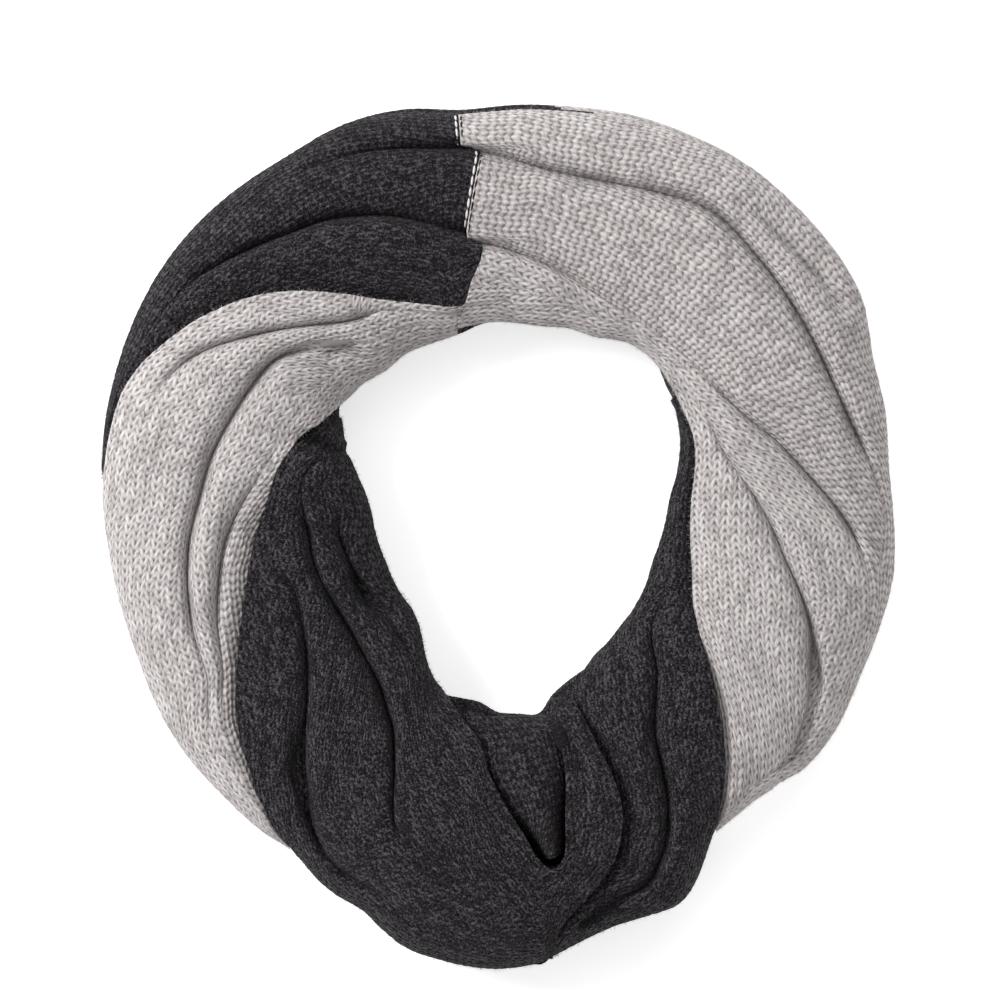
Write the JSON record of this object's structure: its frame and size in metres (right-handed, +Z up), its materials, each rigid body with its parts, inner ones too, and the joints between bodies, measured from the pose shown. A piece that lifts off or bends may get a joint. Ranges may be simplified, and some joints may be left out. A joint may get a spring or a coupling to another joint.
{
  "type": "infinity scarf",
  "caption": "Knitted loop scarf in light and charcoal heather, wound into a flat ring, with rolled folds, a seam across the top and a loose half knot at the bottom.",
  "frame": {"origin": "centre of the underside: middle of the overall width and length, on the surface the scarf lies on", "axes": "+Z up off the surface, +Y towards the seam at the top of the ring, +X to the right as seen from above"},
  "size_m": [0.3164, 0.3457, 0.056],
  "materials": {
    "front_light": "light heather wool blend stockinette, matt and slightly fuzzy",
    "front_dark": "charcoal heather wool blend stockinette, matt and slightly fuzzy",
    "back_light": "light heather wool blend stockinette, matt and slightly fuzzy",
    "lower_dark": "charcoal heather wool blend stockinette, matt and slightly fuzzy",
    "right_dark": "charcoal heather wool blend stockinette, matt and slightly fuzzy",
    "knot_tongue": "charcoal heather wool blend stockinette, matt and slightly fuzzy",
    "hidden_layers": "charcoal heather wool blend stockinette, matt and slightly fuzzy"
  },
  "bodies": {
    "root": {"front_light": "front_light", "front_dark": "front_dark", "back_light": "back_light", "lower_dark": "lower_dark", "right_dark": "right_dark", "knot_tongue": "knot_tongue", "hidden_layers": "hidden_layers"}
  },
  "joints": []
}
